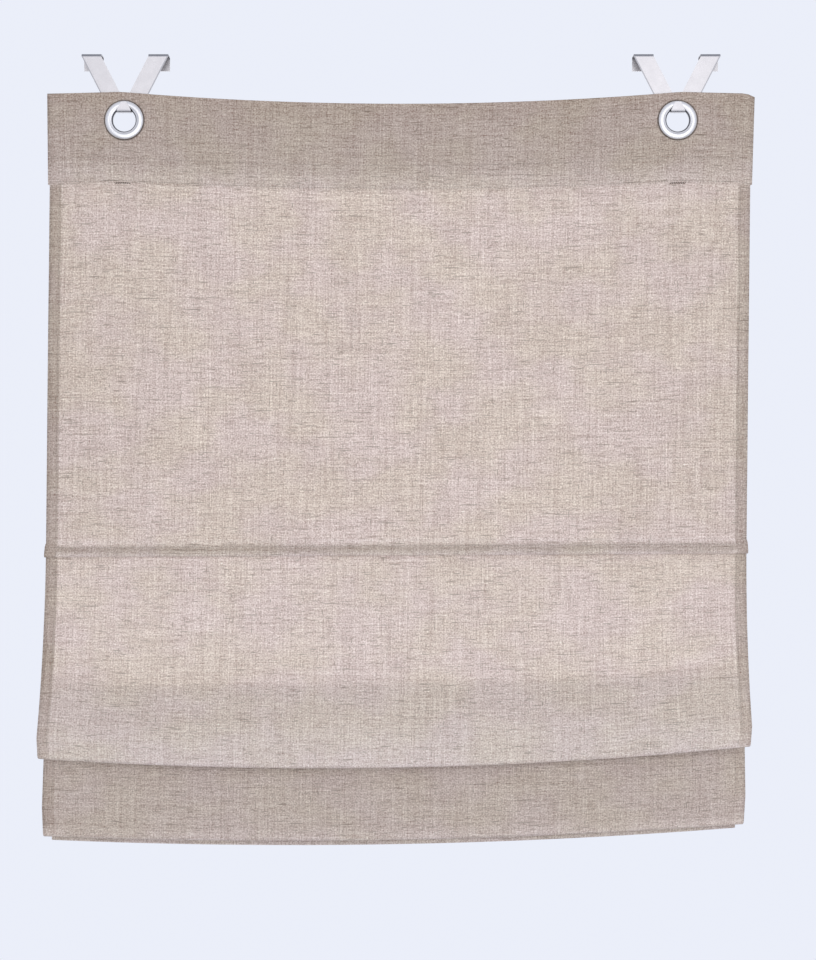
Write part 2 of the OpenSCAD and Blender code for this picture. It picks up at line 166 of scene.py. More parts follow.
class BlindSeamSettings(bpy.types.PropertyGroup):
    """Sizes and colours of the sewing"""

    stitch: length("Stitch", "Length of a machine stitch", 0.0028)
    pitch: length("Stitch pitch", "Distance from stitch to stitch", 0.0034)
    thread_d: length("Thread", "Diameter of the sewing thread", 0.00045)
    margin: length("Margin", "Distance from a seam to the edge that it holds", 0.0025)
    tack_w: length("Bar tack", "Width of the tacks that hold the header rings", 0.018)
    tack_h: length("Tack height", "Height of the bar tacks' zigzag", 0.0016)
    tack_d: length("Tack thread", "Diameter of the bar tacks' thread", 0.0009)
    end_tack: length("End tack", "Length of the stitches that close a tunnel's end", 0.02)
    thread: colour("Thread", "Colour of the sewing thread", (0.36, 0.31, 0.28))
    tack: colour("Tack thread", "Colour of the bar tacks", (0.16, 0.12, 0.10))


class BlindFittingSettings(bpy.types.PropertyGroup):
    """Colours of the metal and plastic fittings"""

    hook: colour("Hook", "Colour of the hooks' sheet metal", (0.55, 0.53, 0.535))
    # Painted shade along the hooks' bends and cut edges
    hook_painted_shade: colour("Hook bend", "Colour of the metal darkened by bending and cutting", (0.25, 0.25, 0.27))
    eyelet: colour("Eyelet", "Colour of the eyelets' satin metal", (0.72, 0.71, 0.72))
    eyelet_rim: colour("Eyelet rim", "Colour of the shaded line round the bore", (0.08, 0.08, 0.09))
    tape: colour("Tape", "Colour of the stiffening tape", (0.80, 0.77, 0.72))
    rod: colour("Rod", "Colour of the tunnel rods", (0.84, 0.84, 0.79))
    bar: colour("Bar", "Colour of the weight bar", (0.48, 0.49, 0.50))
    ring: colour("Ring", "Colour of the cord rings", (0.84, 0.86, 0.88))


class BlindStageSettings(bpy.types.PropertyGroup):
    """Camera, floor and light"""

    view_x: length("View across", "Place that the camera faces, across the width", 0.0080)
    view_z: length("View height", "Place that the camera faces, in height", -0.4864)
    view_span: length("View span", "Height of the picture at the cloth", 1.0967)
    distance: length("Distance", "Distance from the camera to the cloth", 2.3)
    floor_z: length("Floor", "Height of the floor", -1.6)
    floor_w: length("Floor width", "Width and depth of the floor", 4.0)
    backdrop: colour("Backdrop", "Colour behind the object", (0.83, 0.86, 0.95))
    floor: colour("Floor colour", "Colour of the floor", (0.80, 0.82, 0.88))
    ambient: factor("Ambient", "Even light from all around", 0.60)
    key: factor("Key", "Light of the lamp in front, on a white surface", 0.47)
    back: factor("Back", "Light of the lamp behind, on a white surface", 0.40)


class ClothSection:
    """The way that the cloth runs, from the header's turned edge at the back to the bottom hem's edge"""

    # Pitch of the mesh where the cloth shows, where it is hidden and across the width
    FINE_PITCH = 0.0058
    COARSE_PITCH = 0.011
    COLUMN_PITCH = 0.0062
    # Steps of a hanging stretch, of a turn and of a small crown
    FALL_STEPS = 10
    TURN_STEPS = 10
    CROWN_STEPS = 6
    # Widths of the steps at the side hems' inner edges and at the tape's lower edge
    HEM_STEP = 0.0004
    CRISP = 0.0008
    # Height above the tunnel's seam at which the panel begins to come forward
    SEAM_RISE = 0.004
    PUCKER_REACH = 0.009
    # Shares of the way down at which the panel and the front fold begin and end, and the folds are widest
    PANEL_START = 0.002
    PANEL_END = 0.967
    FRONT_START = 0.08
    FRONT_WIDE = 0.9
    SECOND_WIDE = 0.8
    # How freely the folds' turns drape
    FRONT_LOOSE = 0.6
    SECOND_LOOSE = 0.4
    # Painted shading is how much the cloth's colour is darkened as painted shade, up to 1, where further
    # layers lie behind it, or brightened as painted light where it is below 0.
    # The header's line goes by the share of the way down it, and the tunnel's by the count of its stops.
    HEADER_PAINTED_SHADE = (
        (0.0, 1.1), (0.15, 0.92), (0.3, 0.80), (0.6, 0.74), (0.75, 0.64), (0.88, 0.17), (1.0, 0.15)
    )
    TUNNEL_PAINTED_SHADING = ((0.0, -0.4), (1.0, 0.05), (1.5, 0.7), (2.0, 0.2), (7.0, -0.4), (20.0, -0.15))
    # The front fold's line goes by the depth below the middle tunnel's seam, which lifts at the sides,
    # and so does the fading of its side hems. The line paints light above the seam and towards the
    # fold's turn, and a little shade where the layers behind begin and towards the sides.
    FOLD_ABOVE = (-0.08, -0.12)
    FOLD_LIT = (-0.01, -0.2)
    FOLD_LAYERS = ((0.008, 0.05), (0.04, 0.0), (0.052, -0.3))
    FOLD_END = -0.45
    FOLD_SIDE = 0.25
    FOLD_LIFT = 0.012
    HEM_FADE = ((0.0, 1.0), (0.035, 0.7), (0.08, 0.3))
    # Painted shade of the side hems, more on the left, and of the left hem behind the front fold
    HEM_PAINTED_SHADE = {"left": 0.84, "right": 0.66}
    BEHIND_HEM = 1.1
    # Painted shade in the crease at the tape's lower edge
    CREASE_PAINTED_SHADE = 0.7
    # Little painted shade at the soft turns of the second fold and the bottom hem, which leaves them lighter
    # as a painted highlight
    TURN_PAINTED_SHADE = 0.1
    # Painted shade towards the panel's sides
    SIDE_PAINTED_SHADE = 0.1
    # Painted shade of the second fold, and a painted shadow below the front fold's edge that fades over the
    # shadow's depth
    SECOND_PAINTED_SHADE = 0.45
    FOLD_PAINTED_SHADOW = 0.3
    SHADOW_DEPTH = 0.012

    def __init__(self, size):
        self.size = size
        self.half_w = size.width / 2
        tape_low, tape_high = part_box("header_tape")
        rod_low, rod_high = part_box("rod_upper")
        rods = [middle(f"rod_{place}") for place in TUNNELS]
        fold = size.layer_t + size.seat
        self.eyelet = middle("eyelet_face_right")
        self.panel_y = tape_low.y - fold
        self.header_back_y = tape_high.y + fold
        self.tuck_r = (rod_high.y - rod_low.y) / 2 + size.clearance + size.layer_t
        self.tuck_reach = self.tuck_r + size.clearance
        self.rod_drop = size.tunnel_h - self.tuck_r
        self.tunnel_y = [rod.y for rod in rods]
        self.last_y = rods[2].y + self.tuck_reach
        self.pocket_r = middle("bottom_bar").y - self.last_y
        self.seam_z = [rod.z + self.rod_drop for rod in rods]
        self.top_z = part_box("blind_cloth")[1].z
        self.hem_z = self.seam_z[2] - size.last_len
        self.stops = []
        self.marks = {}
        self.tape_stops = (self.CROWN_STEPS + 2, self.CROWN_STEPS + 3)
        self.add("header", self.header())
        self.add("panel", self.panel())
        self.add("upper_tunnel", self.upper_tunnel())
        self.add("front_fold", self.front_fold())
        self.add("middle_tunnel", self.hidden_tunnel(SEAM_2, self.tunnel_y[1]))
        self.add("second_fold", self.second_fold())
        self.add("lower_tunnel", self.hidden_tunnel(SEAM_3, self.tunnel_y[2]))
        self.add("bottom_hem", self.bottom_hem())
        self.rows = self.lay_rows()
        self.runs = {name: self.run_of(stop) for name, stop in self.marks.items()}
        self.tape_run = self.run_of(self.tape_stops[1])
        self.edge_run = -self.rows[0].run
        self.end_run = self.rows[-1].run

    def add(self, name, stops):
        """Puts the next stretch of the section in place"""
        self.marks[name] = len(self.stops)
        self.stops += stops

    def turn(self, level, y, dz, r, start, end, steps, spread=0.0, loose=0.0):
        """Stops round an arc of the section, with its angles in degrees"""
        angles = [math.radians(start + (end - start) * k / steps) for k in range(steps + 1)]
        return [
            Stop(level, y + r * math.cos(a), dz + r * math.sin(a), spread=spread, loose=loose) for a in angles
        ]

    def header(self):
        """Turned layer, top edge and front layer"""
        size = self.size
        r = (self.header_back_y - self.panel_y) / 2
        edge = Stop(HEADER_EDGE, self.header_back_y, spread=size.header_edge_flare)
        over = self.turn(TOP, self.panel_y + r, -r, r, 0, 180, self.CROWN_STEPS, size.header_flare)
        tape_end = size.tape_h / size.header_h
        flare = size.header_flare + (size.header_edge_flare - size.header_flare) * tape_end
        step = self.CRISP / size.header_h
        tape_edge = [
            Stop(TOP, self.panel_y, share=tape_end + k * step, spread=flare) for k in (-0.5, 0.5)
        ]
        return [edge, *over, *tape_edge, edge._replace(y=self.panel_y)]

    def panel(self):
        """Single layer from the header down to the upper tunnel"""
        stops = []
        for k in range(self.FALL_STEPS + 1):
            share = self.PANEL_START + (self.PANEL_END - self.PANEL_START) * k / self.FALL_STEPS
            stops.append(Stop(HEADER_EDGE, self.panel_y, share=share, loose=math.sin(math.pi * share)))
        return stops

    def upper_tunnel(self):
        """Tuck in front of the panel, sewn round its rod"""
        size = self.size
        lip = size.clearance / 2
        front = self.panel_y - 2 * (size.clearance + size.layer_t)
        return [
            Stop(SEAM_1, self.panel_y, self.SEAM_RISE),
            Stop(SEAM_1, front, spread=size.tunnel_flare),
            *self.turn(
                SEAM_1, self.tunnel_y[0], -self.rod_drop, self.tuck_r, 170, 360, self.TURN_STEPS,
                size.tunnel_flare,
            ),
            *self.turn(SEAM_1, self.panel_y - lip, 0.0, lip, 180, 0, self.CROWN_STEPS),
            Stop(SEAM_1, self.panel_y, -size.tunnel_h),
        ]

    def fold_turn(self, level, y, flare, loose):
        """Soft turn at the bottom of a fold, whose corners draw in"""
        size = self.size
        stops = self.turn(level, y + size.fold_r, size.fold_r, size.fold_r, 180, 360, self.TURN_STEPS)
        draw = [(2 + (stop.y - y) / size.fold_r - 1) / 3 * size.corner_draw for stop in stops]
        return [stop._replace(spread=flare - off, loose=loose) for stop, off in zip(stops, draw)]

    def front_fold(self):
        """Layer that swells forward, and its soft turn"""
        size = self.size
        stops = []
        for k in range(self.FALL_STEPS + 1):
            share = self.FRONT_START + (self.FRONT_WIDE - self.FRONT_START) * k / self.FALL_STEPS
            y = self.panel_y - size.fold_swell * share ** 2
            flare = size.fold_flare * (share / self.FRONT_WIDE) ** 2
            stops.append(Stop(SEAM_1, y, share=share, spread=flare, loose=min(1.0, 2 * share)))
        y = self.panel_y - size.fold_swell
        return stops + self.fold_turn(FOLD_1, y, size.fold_flare, self.FRONT_LOOSE)

    def second_fold(self):
        """Lower part of the second fold, and its soft turn"""
        flare = self.size.second_flare
        y = self.tunnel_y[1] + self.tuck_reach
        widest = Stop(SEAM_2, y, share=self.SECOND_WIDE, spread=flare, loose=self.SECOND_LOOSE)
        return [widest, *self.fold_turn(FOLD_2, y, flare, self.SECOND_LOOSE)]

    def hidden_tunnel(self, level, y):
        """Tunnel that hangs inside the crown between two layers"""
        size = self.size
        neck = size.clearance / 2 + size.layer_t
        crown_r = (self.tuck_reach - neck) / 2
        crown_y = (self.tuck_reach + neck) / 2
        return [
            Stop(level, y - self.tuck_reach, -size.tunnel_h),
            *self.turn(level, y - crown_y, 0.0, crown_r, 180, 0, self.CROWN_STEPS),
            *self.turn(level, y, -self.rod_drop, self.tuck_r, 170, 370, self.TURN_STEPS),
            *self.turn(level, y + crown_y, 0.0, crown_r, 180, 0, self.CROWN_STEPS),
            Stop(level, y + self.tuck_reach, -size.tunnel_h),
        ]

    def bottom_hem(self):
        """Pocket of the weight bar, turned to the back"""
        size = self.size
        r = self.pocket_r
        inset = -size.hem_inset
        back_y = self.last_y + 2 * size.layer_t + size.clearance
        return [
            Stop(HEM, self.last_y, size.hem_h, spread=inset),
            *self.turn(HEM, self.last_y + r, r, r, 180, 360, self.CROWN_STEPS, inset),
            Stop(HEM, self.last_y + 2 * r, size.hem_h - size.hem_close, spread=inset),
            Stop(HEM, back_y, size.hem_h, spread=inset),
        ]

    def header_curve(self, x, sag):
        """Height of the header's curve, which hangs from the eyelets"""
        beside = abs(x) - self.eyelet.x
        if beside < 0:
            return -sag * (1 - (x / self.eyelet.x) ** 2)
        return -self.size.corner_droop * beside / (self.half_w - self.eyelet.x)

    def corner_curve(self, x):
        """Height of the header's right corner, which turns down over the width of its side hem"""
        return -self.size.corner_turn * max(0.0, 1 - (self.half_w - x) / self.size.hem_w) ** 2

    def lean_at(self, z):
        """How far the cloth stands aside at a height"""
        return -self.size.lean * (self.top_z - z) / (self.top_z - self.hem_z)

    def level_z(self, level, x):
        """Height of a level at a place across the width"""
        size = self.size
        if level == TOP:
            return self.top_z + self.header_curve(x, size.header_sag) + self.corner_curve(x)
        if level == HEADER_EDGE:
            return self.top_z - size.header_h + self.header_curve(x, size.header_edge_sag)
        z, sag, rise = {
            SEAM_1: (self.seam_z[0], 0.0, size.tunnel_rise),
            FOLD_1: (self.seam_z[0] - size.front_fold_drop, size.front_fold_sag, size.fold_rise),
            SEAM_2: (self.seam_z[1], 0.0, size.fold_rise),
            FOLD_2: (self.seam_z[1] - size.second_fold_drop, size.second_fold_sag, size.fold_rise),
            SEAM_3: (self.seam_z[2], 0.0, size.fold_rise),
            HEM: (self.hem_z, size.hem_sag, size.fold_rise),
        }[level]
        return z + sag * (x / self.half_w) ** 2 + rise * x / size.width

    def stop_point(self, index, x):
        """Place of a stop on the front face"""
        stop = self.stops[index]
        z = self.level_z(stop.level, x)
        if stop.share:
            z += stop.share * (self.level_z(stop.level + 1, x) - z)
        z += stop.dz
        return Vector((x * (1 + stop.spread / self.half_w) + self.lean_at(z), stop.y, z))

    def lay_rows(self):
        """Rows of the mesh, with the run of cloth measured from the top edge"""
        top_stop = 1 + self.CROWN_STEPS // 2
        hidden = self.marks["middle_tunnel"]
        rows = []
        run = 0.0
        top_run = 0.0
        for k in range(len(self.stops) - 1):
            if k == top_stop:
                top_run = run
            span = (self.stop_point(k + 1, 0.0) - self.stop_point(k, 0.0)).length
            pitch = self.FINE_PITCH if 0 < k < hidden else self.COARSE_PITCH
            parts = max(1, math.ceil(span / pitch))
            rows += [Row(k, part / parts, run + span * part / parts) for part in range(parts)]
            run += span
        rows.append(Row(len(self.stops) - 2, 1.0, run))
        return [row._replace(run=row.run - top_run) for row in rows]

    def run_of(self, stop):
        """Run of cloth at a stop"""
        return next(row.run for row in self.rows if row.stop == stop)

    def columns(self):
        """Places across the width, with a close pair at each side hem's inner edge"""
        inner = self.half_w - self.size.hem_w
        parts = math.ceil(2 * inner / self.COLUMN_PITCH)
        across = [inner * (2 * k / parts - 1) for k in range(parts + 1)]
        edge = [inner + self.HEM_STEP, inner + self.size.hem_w / 2, self.half_w]
        return [-x for x in reversed(edge)] + across + edge

    def place(self, row, x):
        """Place on the front face before it drapes"""
        return self.stop_point(row.stop, x).lerp(self.stop_point(row.stop + 1, x), row.share)

    def loose(self, row):
        """How freely the cloth drapes at a row"""
        before, after = self.stops[row.stop].loose, self.stops[row.stop + 1].loose
        return before + (after - before) * row.share

    def uneven(self, row, x, across, down, seed):
        """Smooth noise from -1 to 1, with its own scale across the width and down the run"""
        return noise.noise(Vector((x * across, row.run * down, seed)))

    def draped(self, row, x):
        """Place on the front face, with the drape and the puckers at the seams"""
        size = self.size
        point = self.place(row, x)
        broad = self.uneven(row, x, 4.5, 3.5, 0.37)
        small = self.uneven(row, x, 16.0, 11.0, 4.1)
        point.y += size.drape * self.loose(row) * (broad + 0.35 * small)
        nearest = min(abs(row.run - run) for run in self.seam_runs())
        ripple = self.uneven(row, x, 62.0, 14.0, 9.3)
        point.y += size.pucker * math.exp(-nearest / self.PUCKER_REACH) * ripple
        return point

    def seam_runs(self):
        """Runs of cloth of the seams that show on the front"""
        return (self.tape_run, self.edge_run, self.runs["upper_tunnel"])

    def row_at(self, run):
        """The row at any run of cloth"""
        for before, after in zip(self.rows, self.rows[1:]):
            if before.run <= run <= after.run:
                share = (run - before.run) / (after.run - before.run)
                end = after.share if after.stop == before.stop else 1.0
                return Row(before.stop, before.share + (end - before.share) * share, run)
        raise ValueError(f"the cloth has no run of {run}")

    def header_painted_shade(self, row, x, z):
        """Painted shade of the header: most at its top, with a painted shade line in the crease at the tape's
        lower edge
        """
        if row.stop in self.tape_stops and row.share == 0:
            return self.CREASE_PAINTED_SHADE
        top, edge = self.level_z(TOP, x), self.level_z(HEADER_EDGE, x)
        return on_line(self.HEADER_PAINTED_SHADE, (top - z) / (top - edge))

    def tunnel_painted_shading(self, row):
        """Painted shading of the upper tunnel: painted shade darkest just below its seam, and painted light
        above the seam, on the tuck's round and under its lower edge
        """
        return on_line(self.TUNNEL_PAINTED_SHADING, row.stop + row.share - self.marks["upper_tunnel"])

    def fold_painted_shading(self, x, z):
        """Painted shading of the front fold: a little painted shade where the layers behind begin at the
        middle tunnel and towards the sides, and painted light above them and towards the fold's turn
        """
        seam = self.level_z(SEAM_2, x)
        beside = (x / self.half_w) ** 2
        lift = self.FOLD_LIFT * beside
        lit_depth, lit = self.FOLD_LIT
        line = (
            self.FOLD_ABOVE, (lit_depth - lift, lit), (-lift, self.FOLD_SIDE * beside), *self.FOLD_LAYERS,
            (seam - self.level_z(FOLD_1, x), self.FOLD_END),
        )
        return on_line(line, seam - z)

    def behind_painted_shade(self, row, x, z, hem):
        """Painted shade of what hangs behind the front fold, with a painted shadow just below the front
        fold's edge
        """
        if self.stops[row.stop].level in (FOLD_2, HEM):
            return self.TURN_PAINTED_SHADE
        below = max(0.0, self.level_z(FOLD_1, x) - z)
        shaded = self.SECOND_PAINTED_SHADE + self.FOLD_PAINTED_SHADOW * math.exp(-below / self.SHADOW_DEPTH)
        return max(self.BEHIND_HEM * hem, shaded) if x < 0 else shaded

    def painted_shading(self, row, x, z):
        """Painted shading at any place on the cloth"""
        runs = self.runs
        hemmed = abs(x) > self.half_w - self.size.hem_w
        hem = self.HEM_PAINTED_SHADE["left" if x < 0 else "right"] if hemmed else 0.0
        if row.run < runs["panel"]:
            return self.header_painted_shade(row, x, z)
        if row.run < runs["upper_tunnel"]:
            return hem or self.SIDE_PAINTED_SHADE * (x / self.half_w) ** 2
        if row.run >= runs["middle_tunnel"]:
            return self.behind_painted_shade(row, x, z, hem)
        inner = self.tunnel_painted_shading(row)
        if row.run >= runs["front_fold"]:
            inner = self.fold_painted_shading(x, z)
            hem *= on_line(self.HEM_FADE, self.level_z(SEAM_2, x) - z)
        return max(hem, inner) if hemmed else inner


class NodeTree:
    """A short way to add and join the nodes of one shader"""

    def __init__(self, tree):
        self.tree = tree
        tree.nodes.clear()

    def add(self, kind, inputs=None, **settings):
        """Adds a node with its settings, and joins or sets its inputs"""
        node = self.tree.nodes.new(kind)
        for name, value in settings.items():
            setattr(node, name, value)
        for key, value in (inputs or {}).items():
            socket = node.inputs[key]
            if isinstance(value, bpy.types.NodeSocket):
                self.tree.links.new(value, socket)
            else:
                socket.default_value = value
        return node

    def math(self, operation, a, b=0.0, clamp=False):
        """Result of a sum"""
        node = self.add("ShaderNodeMath", {0: a, 1: b}, operation=operation, use_clamp=clamp)
        return node.outputs[0]

    def plus(self, base, value, share):
        """Base and a share of a value"""
        return self.math("ADD", base, self.math("MULTIPLY", value, share))

    def axes(self, vector):
        """The three parts of a vector"""
        return self.add("ShaderNodeSeparateXYZ", {0: vector}).outputs

    def object_place(self):
        """Place on the object, in metres"""
        return self.add("ShaderNodeTexCoord").outputs["Object"]

    def between(self, value, low, high):
        """0 below low, 1 above high and smooth between them"""
        node = self.add(
            "ShaderNodeMapRange", {"Value": value, "From Min": low, "From Max": high},
            interpolation_type="SMOOTHSTEP",
        )
        return node.outputs["Result"]

    def stretched_noise(self, vector, scale, detail=1.0):
        """Noise with its own scale along each axis"""
        scaled = self.add("ShaderNodeVectorMath", {0: vector, 1: scale}, operation="MULTIPLY")
        node = self.add(
            "ShaderNodeTexNoise", {"Vector": scaled.outputs[0], "Scale": 1.0, "Detail": detail},
            noise_dimensions="3D",
        )
        return node.outputs["Fac"]

    def mix(self, share, a, b, mode="MIX", clamp=True):
        """A mix of two colours"""
        node = self.add(
            "ShaderNodeMix", {0: share, 6: a, 7: b}, data_type="RGBA", blend_type=mode, clamp_factor=clamp
        )
        return node.outputs[2]

    def bump(self, strength, distance, height):
        """Normal that a height bends"""
        node = self.add("ShaderNodeBump", {"Strength": strength, "Distance": distance, "Height": height})
        return node.outputs[0]

    def surface(self, shader):
        """The end of a material, which shows a shader"""
        self.add("ShaderNodeOutputMaterial", {"Surface": shader.outputs[0]})


def rgba(value):
    """A colour with its alpha"""
    return (*value, 1.0)


def new_group(name, inputs, outputs):
    """An empty shader group, with the kinds of its sockets by name, and its nodes"""
    group = bpy.data.node_groups.new(name, "ShaderNodeTree")
    for in_out, sockets in (("INPUT", inputs), ("OUTPUT", outputs)):
        for socket, kind in sockets.items():
            group.interface.new_socket(socket, in_out=in_out, socket_type=f"NodeSocket{kind}")
    return group, NodeTree(group)


def staggered(nodes, across, distance):
    """Distance along a thread, which starts at another place in each thread"""
    thread_w = 0.001
    furthest = 3.0
    thread = nodes.math("FLOOR", nodes.math("DIVIDE", across, thread_w))
    start = nodes.add("ShaderNodeTexWhiteNoise", {"W": thread}, noise_dimensions="1D").outputs["Value"]
    return nodes.plus(distance, start, furthest)


def slubby_weave():
    """Shader group of a plain weave with slubs, on coordinates in metres"""
    name = "Slubby weave"
    if name in bpy.data.node_groups:
        return bpy.data.node_groups[name]
    group, nodes = new_group(
        name, {"Vector": "Vector", "Thread Pitch": "Float", "Slubs": "Float"},
        {"Shade": "Float", "Height": "Float", "Rosy": "Float", "Speck": "Float"},
    )
    given = nodes.add("NodeGroupInput").outputs
    vector = given["Vector"]
    wander = nodes.stretched_noise(vector, (35.0, 35.0, 1.0))
    axes = nodes.axes(vector)
    waves = []
    for axis in (axes[0], axes[1]):
        turns = nodes.plus(nodes.math("DIVIDE", axis, given["Thread Pitch"]), wander, 3.0)
        waves.append(nodes.math("SINE", nodes.math("MULTIPLY", turns, math.pi)))
    cell = nodes.math("ABSOLUTE", nodes.math("MULTIPLY", waves[0], waves[1]))
    weft = nodes.add("ShaderNodeCombineXYZ", {0: staggered(nodes, axes[1], axes[0]), 1: axes[1]}).outputs[0]
    warp = nodes.add("ShaderNodeCombineXYZ", {0: axes[0], 1: staggered(nodes, axes[0], axes[1])}).outputs[0]
    # Long and short streaks of the weft, streaks of the warp and an even grain
    streaks = None
    for place, scale, strength, detail in (
        (weft, (12.0, 460.0, 1.0), 0.52, 1.0), (weft, (80.0, 460.0, 1.0), 0.66, 1.0),
        (warp, (460.0, 14.0, 1.0), 0.69, 1.0), (vector, (590.0, 590.0, 1.0), 1.02, 0.0),
    ):
        off = nodes.math("SUBTRACT", nodes.stretched_noise(place, scale, detail), 0.5)
        off = nodes.math("MULTIPLY", off, strength)
        streaks = off if streaks is None else nodes.math("ADD", streaks, off)
    streaks = nodes.math("MULTIPLY", streaks, given["Slubs"])
    # Long and short slubs of the weft and short ones of the warp, where the noise is at its highest
    speck = None
    for place, scale, detail, least in (
        (weft, (30.0, 460.0, 1.0), 1.0, 0.65), (weft, (70.0, 460.0, 1.0), 2.0, 0.61),
        (warp, (460.0, 80.0, 1.0), 2.0, 0.64),
    ):
        slub = nodes.between(nodes.stretched_noise(place, scale, detail), least, least + 0.1)
        speck = slub if speck is None else nodes.math("MAXIMUM", speck, slub)
    shade = nodes.math("ADD", nodes.plus(0.93, cell, 0.16), streaks)
    rosy = nodes.between(nodes.stretched_noise(vector, (12.0, 17.0, 1.0), 2.0), 0.36, 0.64)
    nodes.add("NodeGroupOutput", {"Shade": shade, "Height": cell, "Rosy": rosy, "Speck": speck})
    return group


def new_material(name):
    """An empty node material and its nodes"""
    material = bpy.data.materials.new(name)
    material.use_nodes = True
    return material, NodeTree(material.node_tree)


def eyelet_reach():
    """Shader group that measures the distance from the axis of the nearest eyelet"""
    name = "Eyelet reach"
    if name in bpy.data.node_groups:
        return bpy.data.node_groups[name]
    group, nodes = new_group(
        name, {"Vector": "Vector", "Across": "Float", "Height": "Float"}, {"Reach": "Float"}
    )
    given = nodes.add("NodeGroupInput").outputs
    axes = nodes.axes(given["Vector"])
    across = nodes.math("SUBTRACT", nodes.math("ABSOLUTE", axes[0]), given["Across"])
    height = nodes.math("SUBTRACT", axes[2], given["Height"])
    arm = nodes.add("ShaderNodeCombineXYZ", {0: across, 1: height}).outputs[0]
    reach = nodes.add("ShaderNodeVectorMath", {0: arm}, operation="LENGTH").outputs["Value"]
    nodes.add("NodeGroupOutput", {"Reach": reach})
    return group


def reach_from_eyelets(nodes, place):
    """Distance from the axis of the nearest eyelet, in a material's nodes"""
    eyelet = middle("eyelet_face_right")
    group = nodes.add(
        "ShaderNodeGroup", {"Vector": place, "Across": eyelet.x, "Height": eyelet.z}, node_tree=eyelet_reach()
    )
    return group.outputs["Reach"]


def eyelet_radius():
    """Outer radius of an eyelet's flange"""
    low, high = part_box("eyelet_face_right")
    return (high.x - low.x) / 2


def eyelet_shadow_ring(nodes):
    """1 on the header's front layer close round an eyelet, where a contact shadow is painted"""
    place = nodes.object_place()
    edge = eyelet_radius()
    near = nodes.between(reach_from_eyelets(nodes, place), edge + 0.0018, edge + 0.0003)
    depth = nodes.axes(place)["Y"]
    tape_low, tape_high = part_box("header_tape")
    front = nodes.between(depth, tape_high.y, tape_low.y)
    return nodes.math("MULTIPLY", near, front)


def linen_material(size):
    """Linen that lets light through, with painted shade where further layers lie behind it, painted light
    where that shading is below 0, and a painted shadow round the eyelets
    """
    painted_shade_slubs = 0.15
    speck_cover = 0.9
    eyelet_shadow_cover = 0.8
    painted_shade_block = 0.78
    material, nodes = new_material("natural_linen")
    place = nodes.add("ShaderNodeUVMap", uv_map="cloth").outputs[0]
    # Painted shading: painted shade where it is above 0 and painted light where it is below 0
    painted_shading = nodes.add("ShaderNodeAttribute", attribute_name="painted_shading").outputs["Fac"]
    slubs = nodes.plus(1.0, painted_shading, painted_shade_slubs)
    weave = nodes.add(
        "ShaderNodeGroup", {"Vector": place, "Thread Pitch": size.thread_pitch, "Slubs": slubs},
        node_tree=slubby_weave(),
    ).outputs
    yarn = nodes.mix(weave["Rosy"], rgba(size.linen), rgba(size.linen_rosy))
    tone = nodes.mix(weave["Shade"], rgba(size.deep), rgba((1.0, 1.0, 1.0)), clamp=False)
    yarn = nodes.mix(1.0, yarn, tone, "MULTIPLY")
    yarn = nodes.mix(nodes.math("MULTIPLY", weave["Speck"], speck_cover), yarn, rgba(size.slub))
    # Painted contact shadow round the eyelets
    yarn = nodes.mix(nodes.math("MULTIPLY", eyelet_shadow_ring(nodes), eyelet_shadow_cover), yarn, rgba(size.pressed))
    # The painted shading darkens or lightens the face's colour and dims the light let through
    face = nodes.mix(painted_shading, yarn, nodes.mix(1.0, yarn, rgba(size.painted_shade_tint), "MULTIPLY"), clamp=False)
    through = nodes.math("SUBTRACT", 1.0, nodes.math("MULTIPLY", painted_shading, painted_shade_block), clamp=True)
    through = nodes.mix(1.0, yarn, through, "MULTIPLY")
    relief = nodes.bump(0.35, 0.0003, weave["Height"])
    cloth = nodes.add("ShaderNodeBsdfPrincipled", {
        "Base Color": face, "Roughness": 0.9, "Specular IOR Level": 0.15, "Sheen Weight": 0.06,
        "Normal": relief,
    })
    glow = nodes.add("ShaderNodeBsdfTranslucent", {"Color": through, "Normal": relief})
    nodes.surface(nodes.add(
        "ShaderNodeMixShader", {0: size.translucency, 1: cloth.outputs[0], 2: glow.outputs[0]}
    ))
    return material


def plain_finish(name, base, roughness, grain=(400.0, 400.0, 400.0), depth=0.05, bump=0.1):
    """A finish whose colour and roughness vary with a fine grain"""
    material, nodes = new_material(name)
    place = nodes.object_place()
    fine = nodes.stretched_noise(place, grain, 3.0)
    broad = nodes.stretched_noise(place, (45.0, 45.0, 45.0), 2.0)
    shade = nodes.plus(1.0 - depth, fine, 2 * depth)
    tint = nodes.mix(1.0, rgba(base), shade, "MULTIPLY")
    rough = nodes.plus(roughness - 0.06, broad, 0.12)
    nodes.surface(nodes.add("ShaderNodeBsdfPrincipled", {
        "Base Color": tint, "Roughness": rough, "Normal": nodes.bump(bump, 0.0002, fine),
    }))
    return material


def thread_finish(name, base, roughness):
    """A twisted sewing thread"""
    return plain_finish(name, base, roughness, grain=(900.0, 900.0, 900.0), depth=0.2, bump=0.4)


def hook_edges(nodes, axes):
    """1 along the cut edges of the hooks' arms, where shade is painted"""
    strip_w = 0.02
    lean = math.radians(27.2)
    front_y = 0.003
    low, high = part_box("hook_right")
    across = nodes.math("SUBTRACT", nodes.math("ABSOLUTE", axes["X"]), (low.x + high.x) / 2)
    top = (high.x - low.x - strip_w / math.cos(lean)) / 2
    drawn_in = nodes.plus(top, axes["Z"], math.tan(lean))
    off = nodes.math("SUBTRACT", nodes.math("ABSOLUTE", across), drawn_in)
    off = nodes.math("ABSOLUTE", nodes.math("MULTIPLY", off, math.cos(lean)))
    front = nodes.between(axes["Y"], front_y + 0.001, front_y - 0.001)
    return nodes.math("MULTIPLY", nodes.between(off, strip_w / 2 - 0.0009, strip_w / 2 - 0.0002), front)


